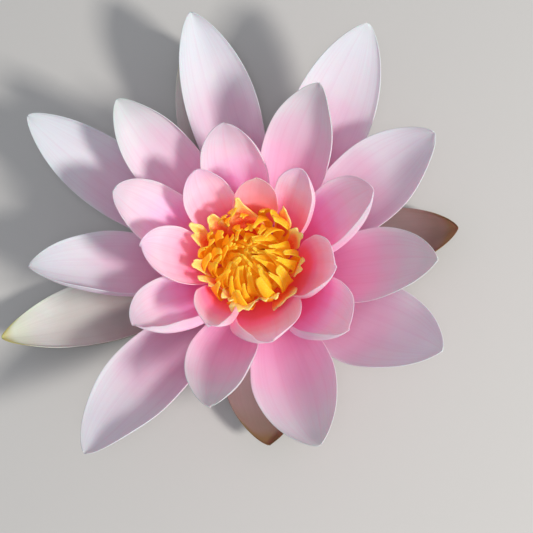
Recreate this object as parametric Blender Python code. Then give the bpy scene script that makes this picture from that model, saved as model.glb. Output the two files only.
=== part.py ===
"""Water lily flower, as picked.

Four sepals and twenty-four petals sit one above another on a turned receptacle, and a crown of
strap-shaped stamens closes over its top.  The origin is the centre of the stalk's cut face, on
which the flower stands, +Z runs up its axis, and sizes are in metres and degrees.
"""
import math
from collections import namedtuple

import bmesh
import bpy

# Receptacle: a short cut stalk, a body that swells upwards, and a dished stigma on top
STALK_RADIUS = 0.0056
STALK_HEIGHT = 0.0012
BODY_RADIUS = 0.0095        # middle of a blade's base where the body is widest
BODY_WIDEST_AT = 0.0120
BODY_TAPER = 0.0022         # how much narrower the body is one TAPER_HEIGHT below that
TAPER_HEIGHT = 0.0090
SHOULDER_HEIGHT = 0.0146
STIGMA_RADIUS = 0.0052
STIGMA_RIM_HEIGHT = 0.0159
STIGMA_DISH_HEIGHT = 0.0149
STIGMA_KNOB_RADIUS = 0.0013
TURNED_SIDES = 24
PROFILE_STEPS = 7

# Blades: sepals and petals
BLADE_THICKNESS = 0.0008
SEAT_CLEARANCE = 0.0006     # room under a base, whose cupped sides lean in
COLLAR_CLEARANCE = 0.0003
WIDEST_AT = 0.58            # share of a blade's length
TIP_SHARE = 0.05            # width of the blunt tip, as a share of the widest
ROWS = 10
COLUMNS = 6
SEPAL_SEAT = 0.0024
FIRST_PETAL_SEAT = 0.0044
SEAT_STEP = 0.0004          # each petal sits this much higher than the one before it

# turn: direction seen from above, anticlockwise from +X.  rise: mean slope of the midrib.
# curl: how much steeper the tip is than the base.  twist: roll round the midrib at the tip.
# lean: sideways bend of the tip, to the left, as a share of the length.
Blade = namedtuple("Blade", "turn length width rise curl twist lean")
# cup: half the angle of the arc across the blade.  base: width of the base, as a share.
Whorl = namedtuple("Whorl", "name cup base colour blades")

SEPALS = Whorl("sepal", 34, 0.28, (0.66, 0.56, 0.45), (
    Blade(-167, 0.0720, 0.0235, 9, 34, 17, 0.02),
    Blade(-89, 0.0440, 0.0250, 9, 36, 0, 0.05),
    Blade(12, 0.0520, 0.0225, 8, 34, -18, -0.03),
    Blade(108, 0.0680, 0.0240, 8, 34, 4, -0.04),
))
# Petals, in the order in which they sit up the receptacle
PETALS = (
    Whorl("petal_outer", 37, 0.21, (0.83, 0.58, 0.72), (
        Blade(100, 0.0700, 0.0225, 18, 20, 11, 0.06),
        Blade(62, 0.0700, 0.0250, 23, 20, 17, 0.00),
        Blade(148, 0.0730, 0.0220, 18, 20, -9, -0.04),
        Blade(-33, 0.0580, 0.0270, 30, 20, -6, 0.10),
        Blade(-133, 0.0665, 0.0265, 28, 20, 25, 0.08),
        Blade(32, 0.0580, 0.0250, 26, 20, -2, 0.00),
        Blade(-178, 0.0585, 0.0245, 29, 20, 31, 0.00),
    )),
    Whorl("petal_second", 42, 0.21, (0.84, 0.52, 0.66), (
        Blade(-8, 0.0560, 0.0235, 40, 17, -6, 0.05),
        Blade(128, 0.0560, 0.0220, 33, 17, -11, 0.01),
        Blade(63, 0.0515, 0.0235, 38, 17, -8, 0.02),
        Blade(-69, 0.0540, 0.0260, 32, 15, 6, 0.02),
        Blade(-105, 0.0475, 0.0225, 47, 17, 18, 0.09),
    )),
    Whorl("petal_third", 45, 0.22, (0.84, 0.44, 0.58), (
        Blade(156, 0.0425, 0.0195, 45, 18, 8, -0.05),
        Blade(-145, 0.0405, 0.0215, 52, 18, 10, 0.00),
        Blade(-41, 0.0435, 0.0215, 52, 18, -2, 0.06),
        Blade(21, 0.0410, 0.0215, 45, 18, -7, 0.04),
        Blade(95, 0.0385, 0.0215, 47, 18, -9, 0.03),
    )),
    Whorl("petal_fourth", 48, 0.25, (0.83, 0.36, 0.44), (
        Blade(-179, 0.0355, 0.0180, 62, 15, 2, -0.05),
        Blade(124, 0.0320, 0.0165, 60, 15, -17, -0.08),
        Blade(44, 0.0330, 0.0155, 58, 17, 9, 0.10),
        Blade(-9, 0.0330, 0.0170, 62, 15, 0, 0.01),
        Blade(-77, 0.0300, 0.0215, 57, 15, -4, 0.09),
        Blade(-125, 0.0345, 0.0165, 72, 14, 2, 0.09),
    )),
    Whorl("petal_inner", 46, 0.30, (0.84, 0.42, 0.38), (
        Blade(84, 0.0270, 0.0140, 67, 12, 8, -0.07),
    )),
)

# Stamens: rings of straps that stand in one collar, the outer ones broad like small petals
COLLAR_INNER_RADIUS = 0.0056
COLLAR_OUTER_RADIUS = 0.0087
COLLAR_HEIGHT = 0.0020
STRAP_ROOT = 0.0010         # depth of a strap's root in the collar
STRAP_THICKNESS = 0.0008
STRAP_ROWS = 3
STRAP_COLUMNS = 2
STRAP_CUP = 20
STRAP_BASE = 0.62
# A ring's straps all have one form: count, radius of their roots, turn of the first, then
# length, width, rise and curl as for a blade.  A negative curl bends a strap outwards.
Ring = namedtuple("Ring", "count radius turn length width rise curl")
RINGS = (
    Ring(12, 0.0081, 15, 0.0168, 0.0046, 68, -18),
    Ring(14, 0.0075, 6, 0.0156, 0.0034, 78, 12),
    Ring(12, 0.0068, 2, 0.0142, 0.0029, 89, 32),
    Ring(10, 0.0062, 20, 0.0128, 0.0025, 101, 48),
    Ring(6, 0.0060, 5, 0.0114, 0.0022, 113, 60),
)

RECEPTACLE_COLOUR = (0.55, 0.60, 0.22)
STAMEN_COLOUR = (0.95, 0.55, 0.04)


def plain_material(name, colour, roughness):
    material = bpy.data.materials.new(name)
    material.use_nodes = True
    shader = material.node_tree.nodes["Principled BSDF"]
    shader.inputs["Base Color"].default_value = (*colour, 1.0)
    shader.inputs["Roughness"].default_value = roughness
    shader.inputs["Metallic"].default_value = 0.0
    return material


def add_object(name, shape, material):
    """Turn a finished bmesh into an object of the scene."""
    mesh = bpy.data.meshes.new(name)
    shape.to_mesh(mesh)
    shape.free()
    mesh.materials.append(material)
    piece = bpy.data.objects.new(name, mesh)
    bpy.context.collection.objects.link(piece)
    return piece


def seat_radius(height):
    """Distance from the axis of the middle of a blade's base that sits at this height."""
    below = (height - BODY_WIDEST_AT) / TAPER_HEIGHT
    return BODY_RADIUS - BODY_TAPER * below ** 2


def half_width(u, base):
    """Half-width of a blade, as a share of the widest, at u from its base, 0, to its tip, 1."""
    if u < WIDEST_AT:
        swell = math.sin(math.pi / 2 * u / WIDEST_AT) ** 1.2
        return base + (1 - base) * swell
    taper = (u - WIDEST_AT) / (1 - WIDEST_AT)
    return TIP_SHARE + (1 - TIP_SHARE) * max(0.0, 1 - taper ** 1.9) ** 0.8


def blade_point(u, v, blade, cup, base):
    """A point of a blade's middle surface, its base at the origin and its midrib over +X.

    v runs from the right margin, -1, to the left one, 1.  The midrib is an arc that steepens by
    the curl.  Across it the blade is an arc too, cupped upwards and rolled by the twist.
    """
    bend = math.radians(blade.curl)
    start = math.radians(blade.rise) - bend / 2
    slope = start + bend * u
    along = blade.length / bend * (math.sin(slope) - math.sin(start))
    up = blade.length / bend * (math.cos(start) - math.cos(slope))
    side = blade.lean * blade.length * u ** 2

    half = blade.width / 2 * half_width(u, base)
    arc = math.radians(cup) * (0.55 + 0.45 * math.sin(math.pi * u ** 0.8))
    across = half * math.sin(arc * v) / arc
    lift = half * (1 - math.cos(arc * v)) / arc
    roll = math.radians(blade.twist) * (0.4 + 0.6 * u)
    left = across * math.cos(roll) - lift * math.sin(roll)
    lift = across * math.sin(roll) + lift * math.cos(roll)
    return along - math.sin(slope) * lift, side + left, up + math.cos(slope) * lift


def add_blade(name, blade, cup, base, rows, columns, thickness, material):
    """A closed blade: a grid bent to the middle surface, split into triangles, then thickened.

    The split comes before the thickness, so that both faces are split alike.
    """
    shape = bmesh.new()
    bmesh.ops.create_grid(shape, x_segments=columns, y_segments=rows, size=1.0)
    for vertex in shape.verts:
        vertex.co = blade_point((vertex.co.y + 1) / 2, -vertex.co.x, blade, cup, base)
    bmesh.ops.reverse_faces(shape, faces=shape.faces)
    bmesh.ops.triangulate(shape, faces=shape.faces, quad_method="FIXED")
    piece = add_object(name, shape, material)
    piece.data.shade_smooth()
    thicken = piece.modifiers.new("thickness", "SOLIDIFY")
    thicken.thickness = thickness
    thicken.offset = 0.0
    return piece


def place(piece, turn, radius, height):
    """Set a piece round the axis, at this turn, distance and height."""
    angle = math.radians(turn)
    piece.location = (radius * math.cos(angle), radius * math.sin(angle), height)
    piece.rotation_euler = (0.0, 0.0, angle)


def add_whorl(whorl, seats):
    """The blades of a whorl, each on its own seat height."""
    material = plain_material(whorl.name, whorl.colour, 0.5)
    for number, (blade, seat) in enumerate(zip(whorl.blades, seats), start=1):
        piece = add_blade(
            f"{whorl.name}_{number}", blade, whorl.cup, whorl.base, ROWS, COLUMNS,
            BLADE_THICKNESS, material,
        )
        place(piece, blade.turn, seat_radius(seat), seat)


def turned_body(name, profile, closed, material):
    """A solid of revolution from (radius, height) points, listed from the bottom outwards."""
    shape = bmesh.new()
    ring = [shape.verts.new((radius, 0.0, height)) for radius, height in profile]
    edges = [shape.edges.new(pair) for pair in zip(ring, ring[1:])]
    if closed:
        edges.append(shape.edges.new((ring[-1], ring[0])))
    bmesh.ops.spin(
        shape, geom=ring + edges, cent=(0, 0, 0), axis=(0, 0, 1),
        angle=math.tau, steps=TURNED_SIDES, use_merge=True,
    )
    bmesh.ops.remove_doubles(shape, verts=shape.verts, dist=0.00001)
    bmesh.ops.recalc_face_normals(shape, faces=shape.faces)
    piece = add_object(name, shape, material)
    piece.data.shade_smooth()
    piece.data.set_sharp_from_angle(angle=math.radians(40))
    return piece


def add_receptacle():
    """Cut stalk, body and stigma, which grew as one piece."""
    inset = BLADE_THICKNESS / 2 + SEAT_CLEARANCE
    low = STALK_HEIGHT
    step = (SHOULDER_HEIGHT - low) / PROFILE_STEPS
    body = [low + step * number for number in range(PROFILE_STEPS + 1)]
    profile = [(0.0, 0.0), (STALK_RADIUS, 0.0)]
    profile += [(seat_radius(height) - inset, height) for height in body]
    profile += [
        (STIGMA_RADIUS, SHOULDER_HEIGHT),
        (STIGMA_RADIUS, STIGMA_RIM_HEIGHT),
        (STIGMA_RADIUS * 0.8, STIGMA_RIM_HEIGHT),
        (STIGMA_RADIUS * 0.5, STIGMA_DISH_HEIGHT),
        (STIGMA_KNOB_RADIUS, STIGMA_DISH_HEIGHT),
        (STIGMA_KNOB_RADIUS * 0.8, STIGMA_RIM_HEIGHT),
        (0.0, STIGMA_RIM_HEIGHT + STIGMA_KNOB_RADIUS / 2),
    ]
    material = plain_material("receptacle", RECEPTACLE_COLOUR, 0.55)
    return turned_body("receptacle", profile, False, material)


def add_stamens():
    """The collar, with every strap rooted in it, joined to one solid."""
    material = plain_material("stamens", STAMEN_COLOUR, 0.5)
    floor = SHOULDER_HEIGHT + COLLAR_CLEARANCE
    top = floor + COLLAR_HEIGHT
    profile = [
        (COLLAR_INNER_RADIUS, floor), (COLLAR_OUTER_RADIUS, floor),
        (COLLAR_OUTER_RADIUS, top), (COLLAR_INNER_RADIUS, top),
    ]
    collar = turned_body("stamens", profile, True, material)
    straps = bpy.data.collections.new("straps")
    bpy.context.scene.collection.children.link(straps)
    for ring in RINGS:
        form = Blade(0, ring.length, ring.width, ring.rise, ring.curl, 0, 0)
        for number in range(ring.count):
            strap = add_blade(
                "strap", form, STRAP_CUP, STRAP_BASE, STRAP_ROWS, STRAP_COLUMNS,
                STRAP_THICKNESS, material,
            )
            bpy.context.collection.objects.unlink(strap)
            straps.objects.link(strap)
            place(strap, ring.turn + 360 * number / ring.count, ring.radius, top - STRAP_ROOT)
    join = collar.modifiers.new("join", "BOOLEAN")
    join.operation = "UNION"
    join.operand_type = "COLLECTION"
    join.collection = straps
    join.solver = "EXACT"
    bpy.context.view_layer.update()
    graph = bpy.context.evaluated_depsgraph_get()
    joined = bpy.data.meshes.new_from_object(collar.evaluated_get(graph))
    collar.modifiers.remove(join)
    collar.data = joined
    for strap in list(straps.objects):
        bpy.data.objects.remove(strap)
    bpy.data.collections.remove(straps)
    return collar


def main():
    for piece in list(bpy.data.objects):
        bpy.data.objects.remove(piece)
    add_receptacle()
    add_whorl(SEPALS, [SEPAL_SEAT] * len(SEPALS.blades))
    below = 0
    for whorl in PETALS:
        count = len(whorl.blades)
        seats = [FIRST_PETAL_SEAT + SEAT_STEP * (below + number) for number in range(count)]
        add_whorl(whorl, seats)
        below += count
    add_stamens()


main()
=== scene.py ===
"""Water lily flower: the finished petals, sepals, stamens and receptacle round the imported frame.

Every blade follows its solid's formula on a finer grid, apart from its end, which has a narrower
tip and in the petals a blunter fall to it.  Rolled margins, soft undulation and a thin rim are
added, and the stamens are made anew.  Sizes are in metres and angles in degrees.
"""

import math
from collections import namedtuple

import bpy
import mathutils
import numpy as np
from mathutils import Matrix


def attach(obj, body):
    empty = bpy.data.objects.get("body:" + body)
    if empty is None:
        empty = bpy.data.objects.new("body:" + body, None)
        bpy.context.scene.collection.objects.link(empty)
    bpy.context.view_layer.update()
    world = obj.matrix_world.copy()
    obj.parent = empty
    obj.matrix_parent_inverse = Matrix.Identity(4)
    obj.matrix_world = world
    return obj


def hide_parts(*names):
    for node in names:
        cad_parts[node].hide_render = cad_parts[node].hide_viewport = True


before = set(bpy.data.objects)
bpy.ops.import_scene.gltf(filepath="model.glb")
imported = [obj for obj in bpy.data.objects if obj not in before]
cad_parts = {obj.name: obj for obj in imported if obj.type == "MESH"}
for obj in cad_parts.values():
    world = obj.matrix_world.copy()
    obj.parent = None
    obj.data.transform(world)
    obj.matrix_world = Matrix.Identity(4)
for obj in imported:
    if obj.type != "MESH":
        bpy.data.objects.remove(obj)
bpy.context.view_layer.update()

# Receptacle, as in the solids
STALK_RADIUS = 0.0056
STALK_HEIGHT = 0.0012
BODY_RADIUS = 0.0095        # middle of a blade's base where the body is widest
BODY_WIDEST_AT = 0.0120
BODY_TAPER = 0.0022
TAPER_HEIGHT = 0.0090
SHOULDER_HEIGHT = 0.0146
STIGMA_RADIUS = 0.0052
STIGMA_RIM_HEIGHT = 0.0159
STIGMA_DISH_HEIGHT = 0.0149
STIGMA_KNOB_RADIUS = 0.0013
SEAT_CLEARANCE = 0.0006
SOLID_HALF_THICKNESS = 0.0004   # of the solids' blades, so the body is as wide as its solid
BODY_PROFILE_STEPS = 14
TURNED_SIDES = 64

# Blades, as in the solids apart from the narrower tip
WIDEST_AT = 0.58            # share of a blade's length
TIP_SHARE = 0.03            # width of the tip, as a share of the widest
SEPAL_SEAT = 0.0024
FIRST_PETAL_SEAT = 0.0044
SEAT_STEP = 0.0004

Blade = namedtuple(
    "Blade", "turn length width rise curl twist lean right_roll left_roll blush", defaults=(0.0,))
Whorl = namedtuple("Whorl", "name cup base tip blades")

# turn: direction seen from above, anticlockwise from +X.  rise: mean slope of the midrib.
# curl: how much steeper the tip is than the base.  twist: roll round the midrib at the tip.
# lean: sideways bend of the tip, to the left, as a share of the length.
# right_roll and left_roll: how far the margin turns in, beyond the blade's own cup.
# blush: how much further out the deep colour of the base runs, as a share of the length.
# The first seven values are the solids' own, except in petal_third_3 and petal_fourth_4 to _6:
# those differ from their solids by up to 5 degrees of turn, 2 mm of length, 4.5 mm of width,
# 2 degrees of rise, 12 of twist and 0.09 of lean.
# cup: half the angle of the arc across a blade.  base: width of the base, as a share.
# tip: power of the outline's fall to the tip, as the solids' at 0.8 and blunter below it.
SEPALS = Whorl("sepal", 34, 0.28, 0.80, (
    Blade(-167, 0.0720, 0.0235, 9, 34, 17, 0.02, 5, 40),
    Blade(-89, 0.0440, 0.0250, 9, 36, 0, 0.05, 20, 20),
    Blade(12, 0.0520, 0.0225, 8, 34, -18, -0.03, 20, 35),
    Blade(108, 0.0680, 0.0240, 8, 34, 4, -0.04, 10, 10),
))
PETALS = (
    Whorl("petal_outer", 37, 0.21, 0.76, (
        Blade(100, 0.0700, 0.0225, 18, 20, 11, 0.06, 15, 10),
        Blade(62, 0.0700, 0.0250, 23, 20, 17, 0.00, 15, 10),
        Blade(148, 0.0730, 0.0220, 18, 20, -9, -0.04, 30, 5),
        Blade(-33, 0.0580, 0.0270, 30, 20, -6, 0.10, 15, 10),
        Blade(-133, 0.0665, 0.0265, 28, 20, 25, 0.08, 10, 30),
        Blade(32, 0.0580, 0.0250, 26, 20, -2, 0.00, 20, 10),
        Blade(-178, 0.0585, 0.0245, 29, 20, 31, 0.00, 10, 50),
    )),
    Whorl("petal_second", 42, 0.21, 0.76, (
        Blade(-8, 0.0560, 0.0235, 40, 17, -6, 0.05, 25, 10),
        Blade(128, 0.0560, 0.0220, 33, 17, -11, 0.01, 40, 10),
        Blade(63, 0.0515, 0.0235, 38, 17, -8, 0.02, 35, 10),
        Blade(-69, 0.0540, 0.0260, 32, 15, 6, 0.02, 15, 25),
        Blade(-105, 0.0475, 0.0225, 47, 17, 18, 0.09, 10, 35),
    )),
    Whorl("petal_third", 45, 0.22, 0.64, (
        Blade(156, 0.0425, 0.0195, 45, 18, 8, -0.05, 15, 15),
        Blade(-145, 0.0405, 0.0215, 52, 18, 10, 0.00, 5, 105),
        Blade(-41, 0.0435, 0.0225, 52, 18, 2, 0.06, 85, 5, 0.05),
        Blade(21, 0.0410, 0.0215, 45, 18, -7, 0.04, 78, 5),
        Blade(95, 0.0385, 0.0215, 47, 18, -9, 0.03, 40, 10),
    )),
    Whorl("petal_fourth", 48, 0.25, 0.60, (
        Blade(-179, 0.0355, 0.0180, 62, 15, 2, -0.05, 10, 35, -0.02),
        Blade(124, 0.0320, 0.0165, 60, 15, -17, -0.08, 25, 10, -0.02),
        Blade(44, 0.0330, 0.0155, 58, 17, 9, 0.10, 65, 5, -0.03),
        Blade(-14, 0.0330, 0.0205, 60, 15, 4, 0.04, 55, 5, 0.08),
        Blade(-80, 0.0280, 0.0260, 57, 15, 8, 0.13, 105, 0, 0.05),
        Blade(-125, 0.0330, 0.0165, 70, 14, 8, 0.18, 5, 100, 0.12),
    )),
    Whorl("petal_inner", 46, 0.30, 0.50, (
        Blade(84, 0.0270, 0.0140, 67, 12, 8, -0.07, 15, 15),
    )),
)
BLADE_ROWS = 46
BLADE_COLUMNS = 36
MARGIN_CROWDING = 0.6       # how far the columns crowd towards the margins, 0 to 1
BLADE_THICKNESS = 0.00055
MARGIN_THINNING = 0.35      # thickness at the margin, as a share of the middle's
THINS_ACROSS = 3            # powers of the thinning: the higher, the nearer the rim it stays
THINS_ALONG = 8
ROLL_START = 0.86           # where a slight roll begins, as a share of the half-width
ROLL_WIDENING = 0.16        # how much nearer the midrib a right-angled roll begins
ROLL_SPAN = 0.45            # share of the rolled strip that curves; the rest is flat
ROLL_FADES_IN = (0.06, 0.4)     # shares of the length between which the roll sets in
ROLL_FADES_OUT = (0.92, 1.0)
ROLL_LOST_AT_TIP = 0.5
SECTION_STEPS = 60
CUP_AT_ENDS = 0.55          # the cup at base and tip, as a share of the middle's
CUP_SKEW = 0.8              # under 1 moves the deepest cup towards the base
SWELL_POWER = 1.2
BLUNTEST_POWER = 3.1
POWER_LOST_TO_TIP = 1.5     # how fast that power falls as a whorl's tip value grows
TWIST_AT_BASE = 0.4         # share of the twist that the base has already
ROW_CROWDING = 1.4          # over 1 crowds the rows towards the tip
SEPAL_SEED = 40
PETAL_SEED = 100

# Ripples of a blade: height, as a share of RIPPLE_HEIGHT, turns along the length, and slant across,
# each times v to the power given last, so that with a power above 0 it grows towards the margins
Ripple = namedtuple("Ripple", "height turns slant power")
RIPPLE_HEIGHT = 0.00022
RIPPLES_FADE_IN = (0.1, 0.5)    # shares of the length between which they set in
RIPPLES = (
    Ripple(1.0, 1.1, 1.3, 0),
    Ripple(0.7, 2.3, -2.1, 0),
    Ripple(0.5, 0.6, 4.0, 0),
    Ripple(0.9, 3.4, 1.5, 4),
)

# Stamens: straps that bend from a start slope to an end slope, and past 90 close in over the
# middle.  flick turns the end back out, and twist rolls it round the strap's own middle line.
# widest is where a strap is widest, as a share of its length, tip is the width near the end and
# notch the depth of its fork, as shares, and wave is how much the edges wander, as a share of the
# width.  lean is the sideways bend of the end, as a share of the length.
Strap = namedtuple(
    "Strap", "turn radius length width start end flick twist widest tip notch wave lean",
    defaults=(0.0,))
PETALOIDS = (
    Strap(20, 0.0084, 0.0170, 0.0046, 48, 92, 35, 20, 0.75, 0.85, 0.10, 0.10),
    Strap(47, 0.0084, 0.0176, 0.0052, 50, 84, 0, -15, 0.55, 0.30, 0.00, 0.06),
    Strap(97, 0.0076, 0.0200, 0.0105, 67, 78, 0, 0, 0.35, 0.12, 0.00, 0.04),
    Strap(134, 0.0084, 0.0168, 0.0044, 54, 90, 10, -20, 0.70, 0.70, 0.04, 0.08),
    Strap(158, 0.0086, 0.0180, 0.0056, 52, 88, 50, 20, 0.80, 0.95, 0.14, 0.12),
    Strap(190, 0.0084, 0.0170, 0.0040, 54, 92, 25, -40, 0.60, 0.60, 0.05, 0.10),
    Strap(216, 0.0084, 0.0164, 0.0054, 56, 98, 55, 15, 0.80, 0.95, 0.16, 0.14),
    Strap(246, 0.0084, 0.0158, 0.0048, 54, 100, 55, -10, 0.75, 0.85, 0.14, 0.12),
    Strap(267, 0.0088, 0.0174, 0.0072, 53, 94, 76, 5, 0.85, 0.95, 0.10, 0.12),
    Strap(297, 0.0084, 0.0160, 0.0052, 50, 100, 62, -12, 0.80, 1.00, 0.20, 0.14),
    Strap(346, 0.0084, 0.0162, 0.0052, 48, 92, 50, -15, 0.80, 0.95, 0.12, 0.12),
)
BROAD_PETALOID = Strap(311, 0.0086, 0.0146, 0.0088, 48, 66, 0, 0, 0.75, 0.85, 0.10, 0.09)
Ring = namedtuple("Ring", "count strap")
RINGS = (
    Ring(15, Strap(6, 0.0080, 0.0204, 0.0036, 34, 146, 15, 0, 0.50, 0.45, 0.08, 0.16)),
    Ring(14, Strap(14, 0.0075, 0.0192, 0.0032, 42, 152, 10, 0, 0.50, 0.40, 0.08, 0.16)),
    Ring(13, Strap(2, 0.0070, 0.0182, 0.0029, 54, 152, 10, 0, 0.50, 0.38, 0.06, 0.14)),
    Ring(12, Strap(9, 0.0065, 0.0174, 0.0025, 66, 146, 10, 0, 0.55, 0.38, 0.05, 0.12)),
    Ring(12, Strap(0, 0.0061, 0.0166, 0.0022, 76, 138, 10, 0, 0.60, 0.38, 0.00, 0.10)),
    Ring(11, Strap(12, 0.0058, 0.0158, 0.0020, 84, 134, 0, 0, 0.60, 0.38, 0.00, 0.10)),
    Ring(9, Strap(5, 0.0057, 0.0142, 0.0018, 94, 138, 0, 0, 0.60, 0.38, 0.00, 0.10)),
)
CROWN_SEED = 15
RING_JITTER = 0.25          # share of the gap between two straps of a ring
STRAP_COLUMNS = 8
STRAP_ROWS = 18
SPINE_STEPS = 60
STRAP_THICKNESS = 0.0003
STRAP_ROOT_SHARE = 0.45     # width at the root, as a share of the widest
COLLAR_RADIUS = 0.0076
COLLAR_HALF_THICKNESS = 0.0020
COLLAR_TOP = SHOULDER_HEIGHT + 0.0028
COLLAR_SIDES = 48
COLLAR_ROUND = 12
STRAP_ROOT = 0.0014
CROWN_LEAN = 0.09           # how far the crown leans to the back, for its height

# Chance differences between the straps of a ring: shares, degrees for the slopes
LENGTH_SPREAD = 0.10
WIDTH_SPREAD = 0.25
START_SPREAD = 6
END_SPREAD = 12
FLICK_SPREAD = 12
TWIST_SPREAD = 34
LEAN_SPREAD = 0.10
TIP_SPREAD = 0.5
NOTCH_MIDDLE = -0.5         # with this spread, two ends in three stay unforked
NOTCH_SPREAD = 1.5

# Form that all straps share
CHANNEL_RANGE = (-0.3, 0.6)     # depth of the groove along a strap, for its half-width
CHANNEL_POWER = 1.3
SLANT_RANGE = 0.9           # how much longer one edge is, for the half-width
EDGE_WAVES = 1.9            # along the length
EDGE_OFFSET = 1.3           # how far the two edges' waves are out of step
WARP_WAVES = 1.4
END_STARTS = 0.72           # where the end begins to be cut, as a share of the length
CORNER_SHARE = 0.8          # how far back the corners are cut, for the half-width
FORK_WIDTH = 0.3
FLICK_STARTS = 0.7
BEND_POWER = 1.2            # over 1 puts more of the bend near the end

# Shifts of the place on a colour ramp, whose length is 1
MARGIN_PALING = 0.12        # the margins are as pale as the blade this much further out
MARGIN_POWER = 3.0
PETAL_CLOUDS = 0.14
STRAP_EDGE_PALING = 0.22
STAMEN_CLOUDS = 0.5
STAMEN_DEEPENING = 0.33     # more than half of the clouds, so straps are a little deeper

# Share of the vein's or pollen's own colour where it is strongest
VEIN_STRENGTH = 0.16
POLLEN_COVER = 0.45

# Veins of a petal and ribs of a strap: features across it and along it
VEINS_ACROSS = 30.0         # about 0.7 mm each where the petal is widest
VEIN_LENGTHS = 0.8
RIBS_ACROSS = 9.0
RIB_LENGTHS = 1.2

# Scales of the other patterns, in features a metre
PETAL_PATCHES = 90.0        # cloudy colour, about 11 mm across
STAMEN_PATCHES = 260.0      # about 4 mm
POLLEN_GRAINS = 2600.0      # clumps of 0.4 mm: single grains are too fine to show
FLESH_MOTTLE = 700.0        # about 1.4 mm

FLOOR_SIZE = 6.0
CAMERA_TARGET = (0.004, -0.001, 0.020)
CAMERA_TO_RIGHT = 9         # tilt away from straight down
CAMERA_TO_FRONT = 10
CAMERA_DISTANCE = 0.350
CAMERA_LENS = 85.1          # millimetres, on a sensor 36 mm wide
CAMERA_SENSOR = 36.0


# ---------------------------------------------------------------- small helpers

def linear(hex_colour):
    """sRGB hex to the linear colour that a shader takes."""
    channels = [int(hex_colour[i:i + 2], 16) / 255 for i in (1, 3, 5)]
    return [c / 12.92 if c <= 0.04045 else ((c + 0.055) / 1.055) ** 2.4 for c in channels] + [1.0]


def node(tree, kind, settings=None, links=None):
    """Add a node, set its properties and sockets, and link its inputs from other sockets."""
    added = tree.nodes.new(kind)
    for key, value in (settings or {}).items():
        if isinstance(key, int) or key in added.inputs:
            added.inputs[key].default_value = value
        else:
            setattr(added, key, value)
    for key, source in (links or {}).items():
        tree.links.new(source, added.inputs[key])
    return added


def material(name, constants):
    """A Principled material with its constants set on the shader's own sockets."""
    made = bpy.data.materials.new(name)
    made.use_nodes = True
    shader = made.node_tree.nodes["Principled BSDF"]
    for key, value in constants.items():
        shader.inputs[key].default_value = value
    return made, made.node_tree, shader


def ramp(tree, source, stops):
    """Colour along a 0 to 1 value, eased between (position, hex) stops."""
    made = node(tree, "ShaderNodeValToRGB", links={"Fac": source})
    made.color_ramp.interpolation = "EASE"
    elements = made.color_ramp.elements
    while len(elements) < len(stops):
        elements.new(0.5)
    for element, (position, colour) in zip(elements, stops):
        element.position = position
        element.color = linear(colour)
    return made.outputs["Color"]


def smooth_step(edge0, edge1, x):
    """0 up to edge0, 1 from edge1 on, and an even curve between them."""
    t = np.clip((x - edge0) / (edge1 - edge0), 0.0, 1.0)
    return t * t * (3 - 2 * t)


# ---------------------------------------------------------------- materials

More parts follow.
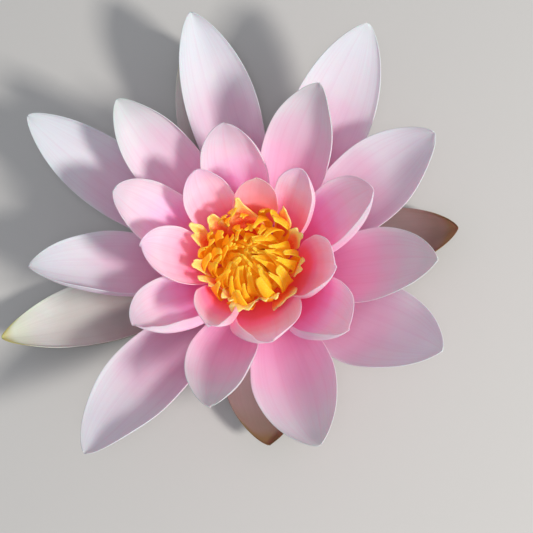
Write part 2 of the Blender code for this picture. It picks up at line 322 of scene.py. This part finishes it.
def petal_material(name, stops, vein, roughness=0.48, translucence=0.8, painted_glow=0.0):
    """Living petal or sepal.  The UV runs across, 0 to 1, and from base to tip.

    The waxy skin gives broad dull highlights, its fine cells a faint velvet sheen at the rim, and
    the wet tissue below lets light through, so shadows on it stay pink.  The emission is painted
    glow in the blade's own colour, standing in for light that has come through the petals behind.
    """
    made, tree, shader = material(name, {
        "Roughness": roughness, "Specular IOR Level": 0.3, "IOR": 1.4,
        "Subsurface Weight": translucence, "Subsurface Scale": 0.0025,
        "Subsurface Radius": (1.0, 0.35, 0.5), "Sheen Weight": 0.06, "Sheen Roughness": 0.4,
        "Emission Strength": painted_glow,
    })
    place = node(tree, "ShaderNodeTexCoord")
    split = node(tree, "ShaderNodeSeparateXYZ", links={0: place.outputs["UV"]})

    # Colour runs from base to tip, and the margins are as pale as the blade further out
    across = node(tree, "ShaderNodeMath", {"operation": "MULTIPLY_ADD", 1: 2.0, 2: -1.0},
                  {0: split.outputs["X"]})
    out = node(tree, "ShaderNodeMath", {"operation": "ABSOLUTE"}, {0: across.outputs[0]})
    paling = node(tree, "ShaderNodeMath", {"operation": "POWER", 1: MARGIN_POWER},
                  {0: out.outputs[0]})
    reach = node(tree, "ShaderNodeMath", {"operation": "MULTIPLY_ADD", 1: MARGIN_PALING},
                 {0: paling.outputs[0], 2: split.outputs["Y"]})
    patchy = node(tree, "ShaderNodeTexNoise", {"Scale": PETAL_PATCHES, "Detail": 2.0},
                  {"Vector": place.outputs["Object"]})
    shifted = node(tree, "ShaderNodeMath", {"operation": "MULTIPLY_ADD", 1: PETAL_CLOUDS},
                   {0: patchy.outputs[0], 2: reach.outputs[0]})
    centred = node(tree, "ShaderNodeMath", {"operation": "SUBTRACT", 1: PETAL_CLOUDS / 2},
                   {0: shifted.outputs[0]})
    blush = node(tree, "ShaderNodeAttribute", {"attribute_name": "blush"})
    level = node(tree, "ShaderNodeMath", {"operation": "SUBTRACT"},
                 {0: centred.outputs[0], 1: blush.outputs["Fac"]})
    body = ramp(tree, level.outputs[0], stops)

    # Lengthwise veins that fan out with the blade
    stretch = node(tree, "ShaderNodeMapping", {"Scale": (VEINS_ACROSS, VEIN_LENGTHS, 1.0)},
                   {"Vector": place.outputs["UV"]})
    waves = node(tree, "ShaderNodeTexNoise", {"Scale": 1.0, "Detail": 3.0, "Roughness": 0.6},
                 {"Vector": stretch.outputs[0]})
    lines = node(tree, "ShaderNodeMapRange", {"From Min": 0.45, "From Max": 0.7,
                 "To Min": 0.0, "To Max": VEIN_STRENGTH}, {"Value": waves.outputs[0]})
    veined = node(tree, "ShaderNodeMix", {"data_type": "RGBA", 7: linear(vein)},
                  {"Factor": lines.outputs[0], 6: body})
    tree.links.new(veined.outputs[2], shader.inputs["Base Color"])
    # The same colour is also emitted: a painted glow that stands in for light through the petals
    tree.links.new(veined.outputs[2], shader.inputs["Emission Color"])

    bump = node(tree, "ShaderNodeBump", {"Strength": 0.12, "Distance": 0.0002},
                {"Height": waves.outputs[0]})
    tree.links.new(bump.outputs[0], shader.inputs["Normal"])
    return made


def make_petal_materials():
    """For each whorl: the face towards the flower's centre, and the back.

    Colours run from a deep base to a pale tip, deeper and warmer in the inner whorls.  Sepals are
    leathery: cream, greyer and darker towards the base as painted shade from the petals above;
    sepals 2 and 3 pinkish brown, darkened all over as painted shade where petals shade them; and a
    dull olive behind that lets little light through.
    """
    faces = {
        "petal_outer": petal_material("outer petal face", (
            (0.0, "#DC7DAA"), (0.3, "#E1AEC7"), (0.45, "#E7C7D8"), (0.62, "#E3DBE4"),
            (0.8, "#DCDBE4"), (1.0, "#D0D4D9")),
            "#D48DB2", translucence=0.45),
        "petal_second": petal_material("second petal face", (
            (0.0, "#FA6CAC"), (0.25, "#FAAFD2"), (0.4, "#F8C0DA"), (0.56, "#EBCBDB"),
            (0.72, "#DED5DC"), (0.88, "#CDD1D3"), (1.0, "#C5CFCD")),
            "#E27FAA", translucence=0.45, painted_glow=0.02),
        "petal_third": petal_material("third petal face", (
            (0.0, "#FD457A"), (0.22, "#FD78AF"), (0.36, "#FDA2CF"), (0.5, "#FDC3DE"),
            (0.62, "#F2CBDB"), (0.75, "#E4CBD7"), (0.9, "#D9C3CF"), (1.0, "#D1C0CC")),
            "#E9648F", painted_glow=0.075),
        "petal_fourth": petal_material("fourth petal face", (
            (0.0, "#FD5453"), (0.2, "#FD6D8D"), (0.32, "#FD85B3"), (0.42, "#FDA2C1"),
            (0.55, "#FDBDD2"), (0.7, "#F9CCDE"), (0.9, "#EDC5DE"), (1.0, "#E7C0DB")),
            "#EC5D70", painted_glow=0.085),
        "petal_inner": petal_material("innermost petal face", (
            (0.0, "#FA5339"), (0.3, "#FA7772"), (0.5, "#F097A2"), (0.7, "#EFA6B5"),
            (1.0, "#E7B2B4")),
            "#EC6A5C", painted_glow=0.07),
        # Cream face, greyer and darker towards the base as painted shade from the petals over it
        "sepal": petal_material("sepal face", (
            (0.0, "#A08584"), (0.4, "#B5A5A4"), (0.58, "#D6CDC8"), (0.72, "#E3DBD6"),
            (0.88, "#DFDFCB"), (1.0, "#BDB66A")),
            "#B4A69C", roughness=0.5, translucence=0.4),
        # Pinkish brown face, darkened all over as painted shade from the petals over it
        "flushed_shaded_sepal": petal_material("flushed sepal face with painted shade", (
            (0.0, "#8F6A6E"), (0.4, "#9C8184"), (0.6, "#917C79"), (0.78, "#837468"),
            (0.9, "#74683F"), (1.0, "#544A22")),
            "#75625E", roughness=0.5, translucence=0.4),
    }
    backs = {
        "petal_outer": petal_material("outer petal back", (
            (0.0, "#C9B4AD"), (0.4, "#D4B6C8"), (0.8, "#CDC7D0"), (1.0, "#C7C4CA")),
            "#C897B0", translucence=0.45),
        "petal_second": petal_material("second petal back", (
            (0.0, "#FDC4E7"), (0.5, "#EEBDD4"), (0.85, "#D0C7CF"), (1.0, "#C6C4CA")),
            "#DE95B6", translucence=0.45),
        "petal_third": petal_material("third petal back", (
            (0.0, "#FDACDA"), (0.5, "#FDBED9"), (0.85, "#DAC2CF"), (1.0, "#D1BAC9")),
            "#E390B0", painted_glow=0.05),
        "petal_fourth": petal_material("fourth petal back", (
            (0.0, "#FDB0E5"), (0.5, "#FDAEC3"), (0.85, "#EDC4D4"), (1.0, "#E5BBCF")),
            "#EA8BA4", painted_glow=0.06),
        "petal_inner": petal_material("innermost petal back", (
            (0.0, "#FD9EB6"), (0.5, "#EDC0B4"), (1.0, "#E8D0C4")),
            "#EA8A88", painted_glow=0.06),
        "sepal": petal_material("sepal back", (
            (0.0, "#6E7A3C"), (0.5, "#6A6440"), (0.85, "#77604A"), (1.0, "#5A4A2C")),
            "#4E5A2E", roughness=0.45, translucence=0.2),
    }
    return faces, backs


def stamen_material(name, stops, painted_glow):
    """Filament and anther: matt under a fine dust of pollen, so almost without highlights.

    The thin tissue lets light through and is redder at the root.  The emission over the whole strap
    is painted glow, standing in for light that has come through the tissue and between the straps.
    """
    made, tree, shader = material(name, {
        "Roughness": 0.6, "Specular IOR Level": 0.25,
        "Subsurface Weight": 0.8, "Subsurface Scale": 0.0025,
        "Subsurface Radius": (1.0, 0.45, 0.08), "Emission Strength": painted_glow,
    })
    place = node(tree, "ShaderNodeTexCoord")
    split = node(tree, "ShaderNodeSeparateXYZ", links={0: place.outputs["UV"]})
    patchy = node(tree, "ShaderNodeTexNoise", {"Scale": STAMEN_PATCHES, "Detail": 2.0},
                  {"Vector": place.outputs["Object"]})
    across = node(tree, "ShaderNodeMath", {"operation": "MULTIPLY_ADD", 1: 2.0, 2: -1.0},
                  {0: split.outputs["X"]})
    out = node(tree, "ShaderNodeMath", {"operation": "POWER", 1: 2.0}, {0: across.outputs[0]})
    reach = node(tree, "ShaderNodeMath", {"operation": "MULTIPLY_ADD", 1: STRAP_EDGE_PALING},
                 {0: out.outputs[0], 2: split.outputs["Y"]})
    level = node(tree, "ShaderNodeMath", {"operation": "MULTIPLY_ADD", 1: STAMEN_CLOUDS},
                 {0: patchy.outputs[0], 2: reach.outputs[0]})
    centred = node(tree, "ShaderNodeMath", {"operation": "SUBTRACT", 1: STAMEN_DEEPENING},
                   {0: level.outputs[0]})
    body = ramp(tree, centred.outputs[0], stops)
    dust = node(tree, "ShaderNodeTexNoise", {"Scale": POLLEN_GRAINS, "Detail": 2.0},
                {"Vector": place.outputs["Object"]})
    amount = node(tree, "ShaderNodeMapRange", {"From Min": 0.5, "From Max": 0.8,
                  "To Max": POLLEN_COVER}, {"Value": dust.outputs[0]})
    dusted = node(tree, "ShaderNodeMix", {"data_type": "RGBA", 7: linear("#FFCC58")},
                  {"Factor": amount.outputs[0], 6: body})
    tree.links.new(dusted.outputs[2], shader.inputs["Base Color"])
    # The same colour is also emitted over the whole strap: a painted glow that stands in for light
    # through it
    tree.links.new(dusted.outputs[2], shader.inputs["Emission Color"])
    bump = node(tree, "ShaderNodeBump", {"Strength": 0.25, "Distance": 0.0001},
                {"Height": dust.outputs[0]})

    # Soft ribs along the strap
    stretch = node(tree, "ShaderNodeMapping", {"Scale": (RIBS_ACROSS, RIB_LENGTHS, 1.0)},
                   {"Vector": place.outputs["UV"]})
    ribs = node(tree, "ShaderNodeTexNoise", {"Scale": 1.0, "Detail": 2.0},
                {"Vector": stretch.outputs[0]})
    ribbed = node(tree, "ShaderNodeBump", {"Strength": 0.5, "Distance": 0.0004},
                  {"Height": ribs.outputs[0], "Normal": bump.outputs[0]})
    tree.links.new(ribbed.outputs[0], shader.inputs["Normal"])
    return made


def receptacle_material(name, low, high, flush=None):
    """Fleshy plant tissue: moist, a little mottled, and flushed red where the petals stand."""
    made, tree, shader = material(name, {
        "Roughness": 0.55, "Specular IOR Level": 0.4,
        "Subsurface Weight": 0.2, "Subsurface Scale": 0.001,
    })
    place = node(tree, "ShaderNodeTexCoord")
    mottle = node(tree, "ShaderNodeTexNoise", {"Scale": FLESH_MOTTLE, "Detail": 4.0},
                  {"Vector": place.outputs["Object"]})
    body = ramp(tree, mottle.outputs[0], ((0.3, low), (0.7, high)))
    if flush:
        split = node(tree, "ShaderNodeSeparateXYZ", links={0: place.outputs["Object"]})
        rise = node(tree, "ShaderNodeMapRange", {"From Min": SEPAL_SEAT,
                    "From Max": FIRST_PETAL_SEAT * 2}, {"Value": split.outputs["Z"]})
        flushed = node(tree, "ShaderNodeMix", {"data_type": "RGBA", 7: linear(flush)},
                       {"Factor": rise.outputs[0], 6: body})
        body = flushed.outputs[2]
    tree.links.new(body, shader.inputs["Base Color"])
    bump = node(tree, "ShaderNodeBump", {"Strength": 0.3, "Distance": 0.0002},
                {"Height": mottle.outputs[0]})
    tree.links.new(bump.outputs[0], shader.inputs["Normal"])
    return made


# ---------------------------------------------------------------- blades

def seat_radius(height):
    """Distance from the axis to the middle of a blade's base."""
    below = (height - BODY_WIDEST_AT) / TAPER_HEIGHT
    return BODY_RADIUS - BODY_TAPER * below ** 2


def half_width(u, base, tip):
    """Share of the widest; a smaller tip power gives a blunter, rounder end."""
    swell = base + (1 - base) * np.sin(np.pi / 2 * np.clip(u / WIDEST_AT, 0, 1)) ** SWELL_POWER
    taper = np.clip((u - WIDEST_AT) / (1 - WIDEST_AT), 0, 1)
    power = BLUNTEST_POWER - POWER_LOST_TO_TIP * tip
    fall = TIP_SHARE + (1 - TIP_SHARE) * (1 - taper ** power) ** tip
    return np.where(u < WIDEST_AT, swell, fall)


def cross_section(u, v, blade, cup):
    """Across and lift, as shares of the half-width, for points on a (row, column) grid.

    The section turns up steadily by the cup, and faster past ROLL_START by the margin's roll.
    It is found by adding up short steps from the midrib outwards.
    """
    depth = np.radians(cup) * (CUP_AT_ENDS + (1 - CUP_AT_ENDS) * np.sin(np.pi * u ** CUP_SKEW))
    fade = smooth_step(*ROLL_FADES_IN, u) * (1 - ROLL_LOST_AT_TIP * smooth_step(*ROLL_FADES_OUT, u))
    across = np.zeros(u.shape)
    lift = np.zeros(u.shape)
    roll = np.radians(np.where(v > 0, blade.left_roll, blade.right_roll)) * fade
    reach = np.abs(v)
    begins = ROLL_START - ROLL_WIDENING * np.degrees(roll) / 90
    ends = begins + (1 - begins) * ROLL_SPAN
    for step in range(SECTION_STEPS):
        here = reach * (step + 0.5) / SECTION_STEPS
        angle = depth * here + roll * smooth_step(begins, ends, here)
        across += np.cos(angle) * reach / SECTION_STEPS
        lift += np.sin(angle) * reach / SECTION_STEPS
    return across * np.sign(v), lift


def blade_points(u, v, blade, whorl, seed):
    """Out, sideways and up for (u, v) arrays: u from base to tip, v from right, -1, to left, 1."""
    bend = math.radians(blade.curl)
    start = math.radians(blade.rise) - bend / 2
    slope = start + bend * u
    along = blade.length / bend * (np.sin(slope) - math.sin(start))
    up = blade.length / bend * (math.cos(start) - np.cos(slope))
    side = blade.lean * blade.length * u ** 2

    half = blade.width / 2 * half_width(u, whorl.base, whorl.tip)
    across, lift = cross_section(u, v, blade, whorl.cup)
    across, lift = across * half, lift * half
    draw = np.random.default_rng(seed)
    phases = draw.uniform(0, 2 * np.pi, len(RIPPLES))
    waves = sum(
        ripple.height * v ** ripple.power * np.sin(
            2 * np.pi * ripple.turns * u + ripple.slant * v + phase)
        for ripple, phase in zip(RIPPLES, phases))
    lift = lift + RIPPLE_HEIGHT * waves * smooth_step(*RIPPLES_FADE_IN, u)
    roll = np.radians(blade.twist) * (TWIST_AT_BASE + (1 - TWIST_AT_BASE) * u)
    left = across * np.cos(roll) - lift * np.sin(roll)
    lift = across * np.sin(roll) + lift * np.cos(roll)
    out = along - np.sin(slope) * lift
    sideways = side + left
    height = up + np.cos(slope) * lift
    return out, sideways, height


def round_axis(out, sideways, height, turn, radius, seat):
    """Carry local positions to their place round the axis."""
    angle = math.radians(turn)
    out = out + radius
    x = out * math.cos(angle) - sideways * math.sin(angle)
    y = out * math.sin(angle) + sideways * math.cos(angle)
    return np.stack([x, y, height + seat], axis=-1)


def make_blade(name, blade, whorl, seat, seed, face, back):
    """A grid bent to the blade's surface, thickened, its margin thinner than its middle."""
    bpy.ops.object.select_all(action="DESELECT")
    bpy.ops.mesh.primitive_grid_add(
        x_subdivisions=BLADE_COLUMNS, y_subdivisions=BLADE_ROWS, size=2)
    piece = bpy.context.object
    piece.name = name
    mesh = piece.data
    mesh.name = name
    flat = np.empty(len(mesh.vertices) * 3)
    mesh.vertices.foreach_get("co", flat)
    flat = flat.reshape(-1, 3)
    v = -(1 - MARGIN_CROWDING) * flat[:, 0] - MARGIN_CROWDING * np.sin(np.pi / 2 * flat[:, 0])
    u = 1 - ((1 - flat[:, 1]) / 2) ** ROW_CROWDING
    local = blade_points(u, v, blade, whorl, seed)
    placed = round_axis(*local, blade.turn, seat_radius(seat), seat)
    mesh.vertices.foreach_set("co", placed.ravel())
    thick = piece.vertex_groups.new(name="thick")
    inner = (1 - np.abs(v) ** THINS_ACROSS) * (1 - u ** THINS_ALONG)
    share = MARGIN_THINNING + (1 - MARGIN_THINNING) * inner
    for number, weight in enumerate(share):
        thick.add([number], float(weight), "REPLACE")
    mesh.materials.append(face)
    mesh.materials.append(back)
    thicken = piece.modifiers.new("thickness", "SOLIDIFY")
    thicken.thickness = BLADE_THICKNESS
    thicken.offset = 0.0
    thicken.vertex_group = "thick"
    thicken.material_offset = 1
    bpy.ops.object.modifier_apply(modifier=thicken.name)
    piece.vertex_groups.clear()
    blush = mesh.attributes.new("blush", "FLOAT", "POINT")
    blush.data.foreach_set("value", [blade.blush] * len(mesh.vertices))
    mesh.shade_smooth()
    return piece


# ---------------------------------------------------------------- stamens

def vary(strap, draw):
    """The same strap with chance differences of growth."""
    def about(value, spread):
        return value + spread * draw.uniform(-1, 1)

    return strap._replace(
        length=strap.length * about(1, LENGTH_SPREAD),
        width=strap.width * about(1, WIDTH_SPREAD),
        start=about(strap.start, START_SPREAD),
        end=about(strap.end, END_SPREAD),
        flick=about(strap.flick, FLICK_SPREAD),
        twist=about(strap.twist, TWIST_SPREAD),
        lean=about(0, LEAN_SPREAD),
        tip=strap.tip * about(1, TIP_SPREAD),
        notch=strap.notch * max(0, about(NOTCH_MIDDLE, NOTCH_SPREAD)))


def make_strap(strap, draw, finish):
    """One stamen: a thin channelled strap with wandering edges and an uneven end."""
    bpy.ops.object.select_all(action="DESELECT")
    bpy.ops.mesh.primitive_grid_add(
        x_subdivisions=STRAP_COLUMNS, y_subdivisions=STRAP_ROWS, size=2)
    piece = bpy.context.object
    mesh = piece.data
    flat = np.empty(len(mesh.vertices) * 3)
    mesh.vertices.foreach_get("co", flat)
    flat = flat.reshape(-1, 3)
    v = -flat[:, 0]
    u = (flat[:, 1] + 1) / 2

    channel = draw.uniform(*CHANNEL_RANGE)
    slant = SLANT_RANGE * draw.uniform(-1, 1)
    phase = draw.uniform(0, 2 * math.pi)

    # Outline: narrow root, widest part, then the end, cut on a slant with rounded corners
    rising = STRAP_ROOT_SHARE + (1 - STRAP_ROOT_SHARE) * smooth_step(0.0, strap.widest, u)
    falling = 1 - (1 - strap.tip) * smooth_step(strap.widest, 1.0, u)
    wander = 1 + strap.wave * np.sin(
        2 * math.pi * EDGE_WAVES * u + EDGE_OFFSET * np.sign(v) + phase)
    half = strap.width / 2 * np.minimum(rising, falling) * wander
    end = smooth_step(END_STARTS, 1.0, u)
    corners = CORNER_SHARE * half / strap.length
    fork = strap.notch * np.exp(-(v / FORK_WIDTH) ** 2)
    u = u * (1 - end * (fork + corners * (v ** 4 + slant * v)))

    # Spine: its slope is added up in short steps from the root
    steps = np.linspace(0, 1, SPINE_STEPS + 1)
    slopes = np.radians(strap.start + (strap.end - strap.start) * steps ** BEND_POWER
                        - strap.flick * smooth_step(FLICK_STARTS, 1.0, steps))
    middles = (slopes[1:] + slopes[:-1]) / 2
    gone_out = np.append(0, np.cumsum(np.cos(middles)))
    gone_up = np.append(0, np.cumsum(np.sin(middles)))
    along = np.interp(u, steps, gone_out) * strap.length / SPINE_STEPS
    up = np.interp(u, steps, gone_up) * strap.length / SPINE_STEPS
    slope = np.interp(u, steps, slopes)
    side = strap.lean * strap.length * u ** 2

    across = v * half
    lift = channel * np.abs(v) ** CHANNEL_POWER * half
    lift = lift + strap.wave * half * v * np.sin(2 * math.pi * WARP_WAVES * u + phase) * u
    roll = math.radians(strap.twist) * u
    left = across * np.cos(roll) - lift * np.sin(roll)
    lift = across * np.sin(roll) + lift * np.cos(roll)
    out = along - np.sin(slope) * lift
    height = up + np.cos(slope) * lift
    placed = round_axis(
        out, side + left, height, strap.turn, strap.radius, COLLAR_TOP - STRAP_ROOT)
    placed[:, 1] += CROWN_LEAN * height
    mesh.vertices.foreach_set("co", placed.ravel())
    thicken = piece.modifiers.new("thickness", "SOLIDIFY")
    thicken.thickness = STRAP_THICKNESS
    thicken.offset = 0.0
    bpy.ops.object.modifier_apply(modifier=thicken.name)
    mesh.materials.append(finish)
    mesh.shade_smooth()
    return piece


def make_stamens(petaloid, broad, fertile):
    """All straps and the collar that they stand in, joined to one piece."""
    draw = np.random.default_rng(CROWN_SEED)
    straps = [make_strap(strap, draw, petaloid) for strap in PETALOIDS]
    straps.append(make_strap(BROAD_PETALOID, draw, broad))
    for ring in RINGS:
        for number in range(ring.count):
            place = number + RING_JITTER * draw.uniform(-1, 1)
            strap = ring.strap._replace(turn=ring.strap.turn + 360 * place / ring.count)
            straps.append(make_strap(vary(strap, draw), draw, fertile))
    bpy.ops.object.select_all(action="DESELECT")
    bpy.ops.mesh.primitive_torus_add(
        major_radius=COLLAR_RADIUS, minor_radius=COLLAR_HALF_THICKNESS,
        major_segments=COLLAR_SIDES, minor_segments=COLLAR_ROUND,
        location=(0, 0, COLLAR_TOP - COLLAR_HALF_THICKNESS))
    collar = bpy.context.object
    bpy.ops.object.transform_apply(location=True)
    collar.data.materials.append(fertile)
    for strap in straps:
        strap.select_set(True)
    bpy.context.view_layer.objects.active = collar
    bpy.ops.object.join()
    collar.name = "stamen_crown"
    collar.data.shade_smooth()
    return collar


# ---------------------------------------------------------------- receptacle

def make_receptacle(skin, stigma):
    """A turned body: cut stalk, swelling receptacle, and the stigma dish on top, plain, with a knob
    and no rays.
    """
    inset = SOLID_HALF_THICKNESS + SEAT_CLEARANCE
    heights = np.linspace(STALK_HEIGHT, SHOULDER_HEIGHT, BODY_PROFILE_STEPS)
    profile = [(0.0, 0.0), (STALK_RADIUS * 0.5, 0.0), (STALK_RADIUS, 0.0)]
    profile += [(seat_radius(h) - inset, h) for h in heights]
    profile += [
        (STIGMA_RADIUS, SHOULDER_HEIGHT), (STIGMA_RADIUS, STIGMA_RIM_HEIGHT),
        (STIGMA_RADIUS * 0.8, STIGMA_RIM_HEIGHT), (STIGMA_RADIUS * 0.5, STIGMA_DISH_HEIGHT),
        (STIGMA_KNOB_RADIUS, STIGMA_DISH_HEIGHT), (STIGMA_KNOB_RADIUS * 0.8, STIGMA_RIM_HEIGHT),
        (0.0, STIGMA_RIM_HEIGHT + STIGMA_KNOB_RADIUS / 2),
    ]
    mesh = bpy.data.meshes.new("receptacle_body")
    piece = bpy.data.objects.new("receptacle_body", mesh)
    bpy.context.scene.collection.objects.link(piece)
    mesh.from_pydata([(r, 0, z) for r, z in profile],
                     [(i, i + 1) for i in range(len(profile) - 1)], [])
    bpy.ops.object.select_all(action="DESELECT")
    piece.select_set(True)
    bpy.context.view_layer.objects.active = piece
    turn = piece.modifiers.new("turn", "SCREW")
    turn.steps = TURNED_SIDES
    turn.render_steps = TURNED_SIDES
    turn.use_merge_vertices = True
    turn.merge_threshold = 0.00001
    bpy.ops.object.modifier_apply(modifier=turn.name)
    bpy.ops.object.mode_set(mode="EDIT")
    bpy.ops.mesh.select_all(action="SELECT")
    bpy.ops.mesh.normals_make_consistent(inside=False)
    bpy.ops.object.mode_set(mode="OBJECT")
    mesh.materials.append(skin)
    mesh.materials.append(stigma)
    just_above = 0.0001
    for face in mesh.polygons:
        face.material_index = int(face.center.z > SHOULDER_HEIGHT + just_above)
    mesh.shade_smooth()
    return piece


# ---------------------------------------------------------------- making the flower

def keep(piece, slot, *nodes):
    """The piece stands for these nodes, and goes with the flower's one body."""
    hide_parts(*nodes)
    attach(piece, "root")


faces, backs = make_petal_materials()
for number, blade in enumerate(SEPALS.blades, start=1):
    name = f"{SEPALS.name}_{number}"
    # Sepals 2 and 3 take the pinkish brown face that is darkened as painted shade
    face = faces["sepal" if number in (1, 4) else "flushed_shaded_sepal"]
    made = make_blade(
        name + "_blade", blade, SEPALS, SEPAL_SEAT, SEPAL_SEED + number, face, backs["sepal"])
    keep(made, "sepal", name)
seat = FIRST_PETAL_SEAT
seed = PETAL_SEED
for whorl in PETALS:
    for number, blade in enumerate(whorl.blades, start=1):
        name = f"{whorl.name}_{number}"
        made = make_blade(
            name + "_blade", blade, whorl, seat, seed, faces[whorl.name], backs[whorl.name])
        keep(made, whorl.name, name)
        seat += SEAT_STEP
        seed += 1
petaloid = stamen_material("petaloid stamen", (
    (0.0, "#E8402C"), (0.4, "#F0583E"), (0.56, "#F47E58"), (0.68, "#F9A46C"), (0.8, "#FCCA74"),
    (1.0, "#FDE08C")), 0.08)
broad = stamen_material("broad petaloid stamen", (
    (0.0, "#E8402C"), (0.45, "#EE5038"), (0.66, "#F57452"), (0.78, "#FCA872"), (0.86, "#FED688"),
    (1.0, "#FEE69C")), 0.08)
fertile = stamen_material("fertile stamen", (
    (0.0, "#FD9614"), (0.3, "#FEA818"), (0.6, "#FEB41C"), (0.85, "#FEB824"), (1.0, "#FEC038")), 0.11)
keep(make_stamens(petaloid, broad, fertile), "stamens", "stamens")
keep(make_receptacle(
    receptacle_material("receptacle flesh", "#7E8A3A", "#A3A652", "#C94A46"),
    receptacle_material("stigma", "#D9A92C", "#E9C65A")), "receptacle", "receptacle")


# ---------------------------------------------------------------- floor, light and camera

def make_floor():
    """A plain pale matt floor that takes the flower's soft shadows."""
    bpy.ops.object.select_all(action="DESELECT")
    bpy.ops.mesh.primitive_plane_add(size=FLOOR_SIZE, location=(0, 0, 0))
    floor = bpy.context.object
    floor.name = "floor"
    finish, _, _ = material("pale floor", {
        "Base Color": linear("#CBCAC7"), "Roughness": 0.9, "Specular IOR Level": 0.05})
    floor.data.materials.append(finish)


def soft_light(name, turn, rise, distance, size, power, colour):
    """An area light that looks at the flower from this direction, in degrees."""
    lamp = bpy.data.lights.new(name, "AREA")
    lamp.size = size
    lamp.energy = power
    lamp.color = linear(colour)[:3]
    holder = bpy.data.objects.new(name, lamp)
    bpy.context.scene.collection.objects.link(holder)
    a, b = math.radians(turn), math.radians(rise)
    spot = np.array([math.cos(a) * math.cos(b), math.sin(a) * math.cos(b), math.sin(b)])
    holder.location = spot * distance
    holder.rotation_euler = (math.radians(90 - rise), 0, math.radians(turn + 90))


def make_lights():
    """A low warm key from the right, a weak cool light from above, and a pale surround."""
    soft_light("key", turn=-24, rise=38, distance=1.0, size=0.15, power=8.6, colour="#FFFAF4")
    soft_light(
        "overhead", turn=-48, rise=76.6, distance=1.2, size=0.35, power=2.1, colour="#F6F7FF")
    world = bpy.data.worlds.new("studio")
    bpy.context.scene.world = world
    world.use_nodes = True
    surround = world.node_tree.nodes["Background"]
    surround.inputs["Color"].default_value = linear("#E9EDF4")
    surround.inputs["Strength"].default_value = 0.40


def make_camera():
    """Looks down on the flower, leaning a little to the right and to the front."""
    target = np.array(CAMERA_TARGET)
    away = np.array([math.tan(math.radians(CAMERA_TO_RIGHT)),
                     -math.tan(math.radians(CAMERA_TO_FRONT)), 1.0])
    away /= np.linalg.norm(away)
    lens = bpy.data.cameras.new("camera")
    lens.sensor_width = CAMERA_SENSOR
    lens.lens = CAMERA_LENS
    lens.clip_start = 0.01
    eye = bpy.data.objects.new("camera", lens)
    bpy.context.scene.collection.objects.link(eye)
    right = np.cross([0, 1, 0], away)
    right /= np.linalg.norm(right)
    up = np.cross(away, right)
    eye.location = target + away * CAMERA_DISTANCE
    turn = mathutils.Matrix((right, up, away)).transposed()
    eye.rotation_euler = turn.to_euler()
    bpy.context.scene.camera = eye


make_floor()
make_lights()
make_camera()

# Colours show as they are set, with no film-like curve over them
bpy.context.scene.view_settings.view_transform = "Standard"
